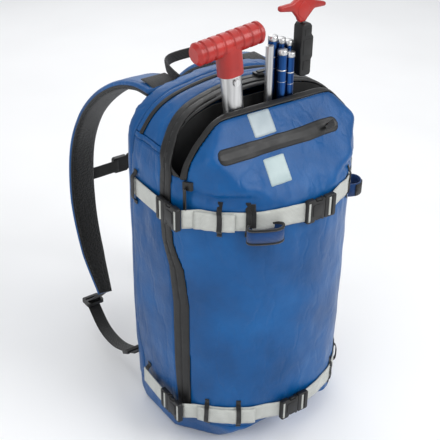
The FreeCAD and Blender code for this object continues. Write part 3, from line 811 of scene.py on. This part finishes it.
TAILS = {"lower": (angle_of(-122, -62), angle_of(-60, -106)),
         "upper": (angle_of(-126, -60), angle_of(-88, -92))}
socket_parts = []
for key in ("lower", "upper"):
    z0 = LEVEL[key]
    fx = FRONT_X[key]
    ly = LEFT_Y[key]
    sy = SIDE_Y[key]
    front_axes = (mm(fx, -123.0, z0), Vector((1, 0, 0)), Vector((0, 0, 1)), Vector((0, -1, 0)))
    side_axes = (mm(-141.4, ly - 22.4, z0), Vector((0, 1, 0)), Vector((0, 0, 1)), Vector((-1, 0, 0)))
    socket_parts += buckle_socket(key + "_fs", front_axes)
    socket_parts += buckle_socket(key + "_ss", side_axes)
    for place, axes in (("front", front_axes), ("side", side_axes)):
        clip = join("clip_%s_%s" % (place, key), buckle_clip(key + place, axes))
        finish_piece(clip, "plastic", "%s_%s" % (key, place), ["clip_%s_%s" % (key, place)])
    for name, axes, at, body in (("front_in", front_axes, -16.4, "bag"),
                                 ("front_out", front_axes, 16.0, key + "_front"),
                                 ("side", side_axes, -16.4, "bag"), ("side_out", side_axes, 16.0,
                                                                     key + "_side")):
        finish_piece(web_wrap("fold_%s_%s" % (name, key), axes, at), "light_web", body)
    strap = wrapped_strap("webbing_front_" + key, z0, angle_of(-134, ly - 36), angle_of(fx - 15, -120),
                          end_lift=(0.009, 0.004))
    finish_piece(strap, "light_web", "bag", ["strap_%s_front" % key])
    tail = wrapped_strap("webbing_tail_" + key, z0 - 1.0, *TAILS[key], 24.0, 0.0042)
    finish_piece(tail, "light_web", "bag")
    strap = wrapped_strap("webbing_right_" + key, z0, angle_of(fx + 18, -120),
                          angle_of(140, sy - 2) + math.tau,
                          end_lift=(0.005, 0.0))
    finish_piece(strap, "light_web", "bag", ["strap_%s_right" % key])
    path = smooth_path([mm(x, y, z0) for x, y in ((-141.4, sy + 7), (-142.6, sy - 6), (-143.6, sy - 20),
                                                  (-145.0, ly + 8), (-145.2, ly - 4))])
    side_strap = ribbon("webbing_side_" + key, path, (0, 0, 1), 25 * MM, 1.8 * MM)
    finish_piece(side_strap, "light_web", key + "_side", ["strap_%s_side" % key])
finish_piece(join("buckle_sockets", socket_parts), "plastic", "bag",
             ["strap_buckle_sockets"])

# narrow black loops that hold the straps to the cloth
keepers = []
for key, xs in (("lower", ((-111, -70), (-78, -95), (78, -95), (111, -70))),
                ("upper", ((-101, -80), (-74, -98), (84, -92)))):
    z0 = LEVEL[key]
    for i, (x, y) in enumerate(xs):
        a = angle_of(x, y)
        over_tail = 3.0 if -115 < x < -76 else 0.0
        lifts = [(-22, 0.4), (-16, 0.8), (-13.2, 3.6), (-8, 5.0), (0, 5.2), (8, 5.0), (13.2, 3.6), (16,
                                                                                          0.8), (24, 0.4)]
        pts = smooth_path([skin_at(a, (z0 + dz) * MM, (up_by + over_tail * (up_by > 2)) * MM)
                           for dz, up_by in lifts], 0.002)
        side = Vector((-math.sin(a), math.cos(a), 0))
        keepers.append(ribbon("keeper%s%d" % (key, i), pts, side, 6.4 * MM, 1.1 * MM))
finish_piece(join("strap_loops", keepers), "black_web", "bag", ["strap_keepers"])
ladders = []
for key in ("lower", "upper"):
    z0 = LEVEL[key]
    for side in (-1, 1):
        sy = SIDE_Y[key]
        off = 6.4 if side < 0 else 4.0
        pts = []
        for dz, k in ((-24, 0.05), (-19, 0.15), (-14.5, 0.9), (0, 1), (14.5, 0.9), (19, 0.15), (24, 0.05)):
            a = angle_of(side * 140, sy)
            pts.append(skin_at(a, (z0 + dz) * MM, off * k * MM + 0.0006))
        ladders.append(ribbon("ladder%s%d" % (key, side + 1), smooth_path(pts, 0.002), (0, 1, 0),
                              7.5 * MM, 1.2 * MM))
finish_piece(join("side_ladder_loops", ladders), "black_web", "bag", ["side_loops"])

# ------------------------------------------------------------------ tool loops


def ring_band(name, centre, half_u, half_v, turn, z0, z1, wall, n=72, power=2.3):
    rings = []
    for k in range(n):
        a = k * math.tau / n
        cu = math.copysign(abs(math.cos(a)) ** (2 / power), math.cos(a))
        sv = math.copysign(abs(math.sin(a)) ** (2 / power), math.sin(a))
        ring = []
        for off, z in ((0, z0), (0, (z0 + z1) / 2), (0, z1), (-wall, z1), (-wall, (z0 + z1) / 2), (-wall,
                                                                                                   z0)):
            sag = 0.5 * math.sin(3 * a + 1.0)
            u = cu * (half_u + off)
            v = sv * (half_v + off)
            ring.append(mm(centre[0] + u * math.cos(turn) - v * math.sin(turn),
                           centre[1] + u * math.sin(turn) + v * math.cos(turn), z + sag))
        rings.append(ring)
    return loft(name, rings, loop=True)


AXE_AT = (-62.5, -118.5)
AXE_TURN = math.radians(-22)
finish_piece(ring_band("axe_loop_band", AXE_AT, 23, 10.3, AXE_TURN, 343.6, 360.4, 1.6), "blue_loop", "bag",
             ["axe_loop"])
trim = join("axe_loop_edges", [ring_band("t1", AXE_AT, 23.5, 10.8, AXE_TURN, 341.6, 344.4, 2.6),
                               ring_band("t2", AXE_AT, 23.5, 10.8, AXE_TURN, 359.6, 362.4, 2.6)])
finish_piece(trim, "black_web", "bag", ["axe_loop_trim"])
a = angle_of(-72, -103)
tab_path = smooth_path([skin_at(a, z * MM, k * MM) for z, k in ((388, 0.5), (381, 1.0), (376, 4.6), (366,
                                                                                                     5.6),
                                                               (358, 5.8))], 0.002)
finish_piece(ribbon("axe_loop_tab", tab_path, (-math.sin(a), math.cos(a), 0), 9 * MM, 1.2 * MM),
             "black_web", "bag")
GEAR_AT = (157.6, -28.0)
finish_piece(ring_band("gear_loop_band", GEAR_AT, 17.4, 17.0, 0.0, 300.4, 319.6, 1.7, power=2.0),
             "blue_loop",
             "bag", ["gear_loop"])
patch_rings = []
for k in range(15):
    ang = math.radians(-100 + k * 5)
    patch_rings.append([mm(GEAR_AT[0] + r * math.cos(ang), GEAR_AT[1] + r * math.sin(ang), z)
                        for r, z in ((17.4, 301), (18.6, 301.6), (18.6, 318.4), (17.4, 319))])
finish_piece(loft("gear_loop_stripe", patch_rings), "black_web", "bag")
a = angle_of(138, -28)
gear_path = smooth_path([skin_at(a, 298 * MM, 1.2 * MM), skin_at(a, 310 * MM, 1.4 * MM),
                         skin_at(a, 326 * MM, 1.2 * MM), skin_at(a, 352 * MM, 1.4 * MM)], 0.003)
finish_piece(ribbon("gear_loop_strap", gear_path, (-math.sin(a), math.cos(a), 0), 18 * MM, 1.4 * MM),
             "black_web",
             "bag", ["gear_loop_web"])

# ------------------------------------------------------------------ flap trims


def conform(name, x0, x1, z0, z1, lift, edge_r, step=0.0022, thick=0.0007):
    """A thin piece welded to the front cloth, with rounded ends; lift(u, v) shapes its face."""
    nx = max(3, int((x1 - x0) * MM / step))
    nz = max(3, int((z1 - z0) * MM / step))
    top = []
    low = []
    for i in range(nx + 1):
        x = x0 + (x1 - x0) * i / nx
        inset = 0.0
        end = min(x - x0, x1 - x)
        if end < edge_r:
            inset = edge_r - math.sqrt(max(0.0, edge_r ** 2 - (edge_r - end) ** 2))
        for j in range(nz + 1):
            v = j / nz
            z = z0 + inset + (z1 - z0 - 2 * inset) * v
            h = lift(x, v * 2 - 1)
            rim = 0.4 if (i in (0, nx) or j in (0, nz)) else 1.0
            top.append(front_at(x * MM, z * MM, (h * rim + 0.15) * MM))
            low.append(front_at(x * MM, z * MM, -thick))
    verts = top + low
    n = len(top)
    faces = []
    for i in range(nx):
        for j in range(nz):
            q = (i * (nz + 1) + j, (i + 1) * (nz + 1) + j, (i + 1) * (nz + 1) + j + 1, i * (nz + 1) + j + 1)
            faces.append(q)
            faces.append(tuple(n + k for k in reversed(q)))
    rim = [i * (nz + 1) for i in range(nx + 1)] + [nx * (nz + 1) + j for j in range(1, nz + 1)]
    rim += [i * (nz + 1) + nz for i in range(nx - 1, -1, -1)] + [j for j in range(nz - 1, 0, -1)]
    for a, b in zip(rim, rim[1:] + rim[:1]):
        faces.append((a, b, n + b, n + a))
    return new_object(name, verts, faces)


def strip_lift(x, v):
    if abs(v) < 0.07:
        return 0.35
    if abs(v) < 0.62:
        return 1.5
    return 0.8


strip = conform("pocket_zip_tape", -102, 80, 435.5, 451.5, strip_lift, 7.9, 0.0014)
finish_piece(strip, "tape", "flap", ["pocket_zip_strip"])
finish_piece(conform("reflective_panel", -45, -13, 453.5, 477, lambda x, v: 0.5, 0.5), "reflective", "flap",
             ["reflective_tab"])
finish_piece(conform("plain_patch", -44, -13, 402.5, 430.5, lambda x, v: 0.6, 0.5), "patch", "flap",
             ["flap_patch"])
slider_axes = (front_at(0.068, 0.4435, 0.0016), Vector((0.93, 0.28, 0)).normalized(), Vector((0, 0.5,
                                                                                              0.86)),
               Vector((0.2, -0.85, 0.5)).normalized())
slider = [outline_piece("sl1", [(-6, -3.4), (6, -4.2), (7, 0), (6, 4.2), (-6, 3.4)], slider_axes, (0,
                                                                                            2.4), 0.0006),
          outline_piece("sl2", [(-3, -1.4), (4, -1.4), (4, 1.4), (-3, 1.4)], slider_axes, (2.2, 4.0),
                        0.0004),
          outline_piece("sl3", [(-15, -2.4), (-2, -2.8), (-2, 2.8), (-15, 2.4)], slider_axes, (3.0, 4.4),
                        0.0004)]
finish_piece(join("pocket_zip_slider", slider), "zip_teeth", "flap")

# ------------------------------------------------------------------ shoulder harness
STRAP_LINE = [(80.6, 470), (120, 468), (168, 452), (225, 418), (272, 372), (298, 318), (303, 260), (292,
                                                                                                    200),
              (262, 140), (218, 90)]
STRAP_DRIFT = [(72, 492, 1.0), (74, 460, 1.0), (82, 372, 0.96), (89, 300, 0.9), (95, 220, 0.88), (102,
                                                                                                  140, 0.74),
               (109, 84, 0.42)]


def drift_at(z, column):
    zs = [d[1] for d in reversed(STRAP_DRIFT)]
    return float(np.interp(z, zs, [d[column] for d in reversed(STRAP_DRIFT)]))


for tag, side in (("left", -1), ("right", 1)):
    base = smooth_path([mm(side * drift_at(z, 0), y, z) for y, z in STRAP_LINE], 0.005)
    widths = [54 * MM * drift_at(p.z * 1000, 2) for p in base]
    turn = math.radians(18) * side

    def facing(i):
        """The strap's sideways direction: it turns a little outward below the shoulder."""
        swing = turn * min(1.0, max(0.0, (i / len(base) - 0.18) / 0.25))
        return Vector((math.cos(swing), -math.sin(swing), 0))

    def shifted(points, by, sideways=None):
        out = []
        for i, p in enumerate(points):
            t = (points[min(i + 1, len(points) - 1)] - points[max(0, i - 1)]).normalized()
            across = facing(i)
            across = (across - t * across.dot(t)).normalized()
            move = across * (sideways[i] if sideways else 0.0)
            out.append(p + across.cross(t).normalized() * by + move)
        return out
    cover = ribbon("shoulder_cover_" + tag, shifted(base, 0.0010), facing, 0, 6.4 * MM, 1.4 * MM,
                   [w - 1 * MM for w in widths])
    finish_piece(cover, "blue", "bag", ["shoulder_shell_" + tag])
    lining = ribbon("shoulder_lining_" + tag, shifted(base, -0.0046), lambda i: -facing(i), 0, 4.6 * MM,
                    1.6 * MM,
                    [w - 4 * MM for w in widths])
    finish_piece(lining, "mesh", "bag", ["shoulder_mesh_" + tag])
    edges = [tube("edge%d" % k, shifted(base, -0.0024, [k * (w / 2 - 0.0022) for w in widths]), 0.0019, 8)
             for k in (-1, 1)]
    finish_piece(join("shoulder_binding_" + tag, edges), "black_web", "bag")
    for k in (-1, 1):
        line = shifted(base, 0.0050, [k * (w / 2 - 0.0068) for w in widths])[1:-2]
        centre = Vector((0, 0.18, 0.27))
        stitch_line(line, lambda p: (p - centre).normalized(), "strap_stitch_%s%d" % (tag, k + 1),
                    "thread", "bag")
    anchor = ribbon("strap_anchor_" + tag, smooth_path([mm(side * 72, 81.4, 474), mm(side * 72, 96, 477.2),
                                                        mm(side * 72.6, 112, 477.4)], 0.003),
                    (1, 0, 0), 38 * MM, 1.6 * MM)
    finish_piece(anchor, "black_web", "bag")

LOWER_WEB = [(117, 246, 59), (122, 200, 39), (127, 150, 43), (127, 110, 57), (127, 81.4, 72.5)]
webs = []
glides = []
for side in (-1, 1):
    path = smooth_path([mm(side * x, y, z) for x, y, z in LOWER_WEB], 0.004)
    webs.append(ribbon("web%d" % side, path, (1, 0, 0), 20 * MM, 1.7 * MM))
    tail = smooth_path([mm(side * 108.4, 219, 93), mm(side * 110, 226, 84), mm(side * 113, 236, 73),
                        mm(side * 115, 242, 67), mm(side * 117, 248, 61)], 0.003)
    webs.append(ribbon("tail%d" % side, tail, (1, 0, 0), 20 * MM, 1.7 * MM))
    at = mm(side * 127, 100, 62)
    glide_axes = (at, Vector((1, 0, 0)), Vector((0, 0.85, -0.52)).normalized(), Vector((0, 0.52,
                                                                                        0.85)).normalized())
    for off in (-8, 0, 8):
        bar = [(-13, off - 1.4), (13, off - 1.4), (13, off + 1.4), (-13, off + 1.4)]
        glides.append(outline_piece("glide%d%d" % (side, off), bar, glide_axes, (1.0, 3.4), 0.0005))
    for off in (-13, 13):
        bar = [(off - 1.6, -9.4), (off + 1.6, -9.4), (off + 1.6, 9.4), (off - 1.6, 9.4)]
        glides.append(outline_piece("glide%d%ds" % (side, off), bar, glide_axes, (-1.0, 3.4), 0.0005))
finish_piece(join("lower_webbing", webs), "black_web", "bag", ["lower_webs"])
finish_piece(join("web_glides", glides), "plastic", "bag")
for tag, x0, x1 in (("left", -104, -22), ("right", 14, 104)):
    y = 309.7
    mid = (x0 + x1) / 2
    path = smooth_path([mm(x0, y - 1.0, 250), mm(x0 * 0.7 + x1 * 0.3, y, 249.6), mm(mid, y, 249),
                        mm(x0 * 0.3 + x1 * 0.7, y, 249.4), mm(x1, y, 250)], 0.004)
    finish_piece(ribbon("sternum_webbing_" + tag, path, (0, 0, -1), 20 * MM, 1.6 * MM), "black_web", "bag",
                 ["sternum_web_" + tag])
handle_path = smooth_path([mm(-52, 82, 478), mm(-53, 96, 482), mm(-50, 114, 486), mm(-36, 127, 489),
                           mm(0, 130, 490), mm(36, 127, 489), mm(50, 114, 486), mm(53, 96, 482), mm(52,
                                                                                                    82, 478)],
                          0.004)
finish_piece(ribbon("haul_webbing", handle_path, (0.0, 0.35, 0.94), 13 * MM, 3.4 * MM, 0.6 * MM),
             "black_web",
             "haul", ["haul_handle"])

# ------------------------------------------------------------------ padded back panel
PAD_EDGE = [(60, 106), (200, 110), (330, 106), (430, 70)]


def pad_height(x, z):
    half = float(np.interp(z, [p[0] for p in PAD_EDGE], [p[1] for p in PAD_EDGE]))
    edge = min(half - abs(x), z - 60, 430 - z)
    h = 10.0 * (1 - math.exp(-max(edge, 0) / 7.0))
    h *= 1 - 0.75 * math.exp(-(x / 9.0) ** 2)
    for groove in (150, 240, 330):
        h *= 1 - 0.5 * math.exp(-((z - groove) / 6.0) ** 2)
    return h


rows = []
for i in range(94):
    z = 60 + 370 * i / 93
    half = float(np.interp(z, [p[0] for p in PAD_EDGE], [p[1] for p in PAD_EDGE]))
    rows.append([mm(x, 80.6 + pad_height(x, z), z) for x in np.linspace(-half, half, 61)])
verts = [p for row in rows for p in row]
n = len(verts)
verts += [Vector((p.x, 0.0802, p.z)) for p in verts]
faces = []
for i in range(93):
    for j in range(60):
        q = (i * 61 + j, i * 61 + j + 1, (i + 1) * 61 + j + 1, (i + 1) * 61 + j)
        faces.append(q)
        faces.append(tuple(n + k for k in reversed(q)))
rim = [j for j in range(61)] + [i * 61 + 60 for i in range(1, 94)]
rim += [93 * 61 + j for j in range(59, -1, -1)] + [i * 61 for i in range(92, 0, -1)]
faces += [(a, n + a, n + b, b) for a, b in zip(rim, rim[1:] + rim[:1])]
finish_piece(new_object("back_padding", verts, faces), "mesh", "bag", ["back_pad"])

# ------------------------------------------------------------------ probe and zip details
wings = [(14, 585), (34, 582), (42, 573), (45, 567), (54, 567), (57, 571), (67, 581), (85, 581), (85, 586),
         (67, 591), (57, 597), (42, 598), (33, 592), (14, 591)]
flat_axes = (Vector((0, -0.032, 0)), Vector((1, 0, 0)), Vector((0, 0, 1)), Vector((0, -1, 0)))
pull = [outline_piece("pull_a", wings, flat_axes, (-3.6, 3.6), 0.0022),
        outline_piece("pull_b", [(41, 577), (49, 571), (57, 577), (59, 585), (49, 594), (40, 586)],
                      flat_axes,
                      (-4.4, 4.4), 0.0012)]
finish_piece(join("probe_pull_grip", pull), "red", "probe_grip", ["probe_pull"])
# the taut cord the grip draws out of the lock; at rest all of it lies inside the housing
finish_piece(tube("probe_pull_cord", [mm(50, -32, z) for z in range(504, 577, 6)], 0.0013, 10), "black_web",
             "probe_grip")
housing = [(45, 502), (47, 500), (60, 500), (62, 503), (62, 520), (64, 523), (64, 548), (61, 552), (61,
                                                                                                    562),
           (58, 566), (48, 566), (45, 562), (45, 540), (44.4, 536), (44.4, 524), (45, 520)]
inset = [(49, 508), (59, 508), (59, 519), (49, 519)]
lock = [outline_piece("lock_a", housing, flat_axes, (-8.2, 8.2), 0.0016),
        outline_piece("lock_b", inset, flat_axes, (7.6, 9.0), 0.0006),
        outline_piece("lock_c", [(48, 527), (60, 527), (60, 546), (48, 546)], flat_axes, (7.6, 9.0), 0.001),
        outline_piece("lock_d", [(50, 551), (58, 551), (58, 559), (50, 559)], flat_axes, (7.6, 8.8),
                      0.0006)]
finish_piece(join("probe_lock_housing", lock), "plastic", "probe", ["probe_lock"])
bands = []
PROBE_TUBES = [(13, -24.6), (25, -24.6), (37, -24.6), (19, -36.6), (31, -36.6)]
for i, (px, py) in enumerate(PROBE_TUBES):
    top_z = 186.4 + 368 - 5 * i
    for z0, z1, r in ((top_z - 6, top_z + 0.5, 6.1), (top_z - 26, top_z - 24, 5.95), (top_z - 40,
                                                                                      top_z - 39, 5.95)):
        ring = []
        for z, rr in ((z0, r - 0.5), (z0 + 0.4, r), (z1 - 0.4, r), (z1, r - 0.7)):
            ring.append([mm(px + rr * math.cos(k * math.tau / 28), py + rr * math.sin(k * math.tau / 28), z)
                         for k in range(28)])
        bands.append(loft("band%d%d" % (i, int(z0)), ring))
finish_piece(join("probe_tube_ferrules", bands), "silver", "probe")

# seam stitching on the skin
for name, pts in (("seam_left", [(-141, 63, z) for z in range(48, 420, 6)]),
                  ("seam_right", [(141, 63, z) for z in range(48, 420, 6)]),
                  ("seam_left_low", [(-138, y, 43.5) for y in range(-20, 56, 5)]),
                  ("seam_right_low", [(138, y, 43.5) for y in range(-20, 56, 5)]),
                  ("seam_left_high", [(-139, y, 441) for y in range(8, 58, 5)]),
                  ("seam_left_under", [(-139, y, 429) for y in range(-4, 58, 5)])):
    line = []
    for p in pts:
        hit, normal = on_skin(mm(*p))
        line.append(hit + normal * 0.0001)
    stitch_line(line, lambda p: on_skin(p)[1], "stitch_" + name, "thread", "bag")

# ------------------------------------------------------------------ carried-over CAD pieces
CAD_LOOKS = {
    "shovel_shaft": "silver", "shovel_grip": "red", "shovel_button": "silver", "probe_tubes": "probe",
    "probe_bright_section": "silver", "sternum_socket": "plastic", "sternum_clip": "plastic",
    "sternum_sliders": "plastic", "ladder_locks": "plastic", "main_zip_slider": "zip_teeth",
    "flap_zip_slider": "zip_teeth", "main_zip_pull": "tape", "flap_zip_pull": "tape",
    "pocket_divider": "cad_lining", "pocket_floor": "cad_lining",
}
M["cad_lining"] = moulded("pocket_lining", grey(14), grey(30), 0.8, 500.0, 0.0003)
for name, look in CAD_LOOKS.items():
    mesh = nodes[name].data
    mesh.materials.clear()
    mesh.materials.append(M[look])
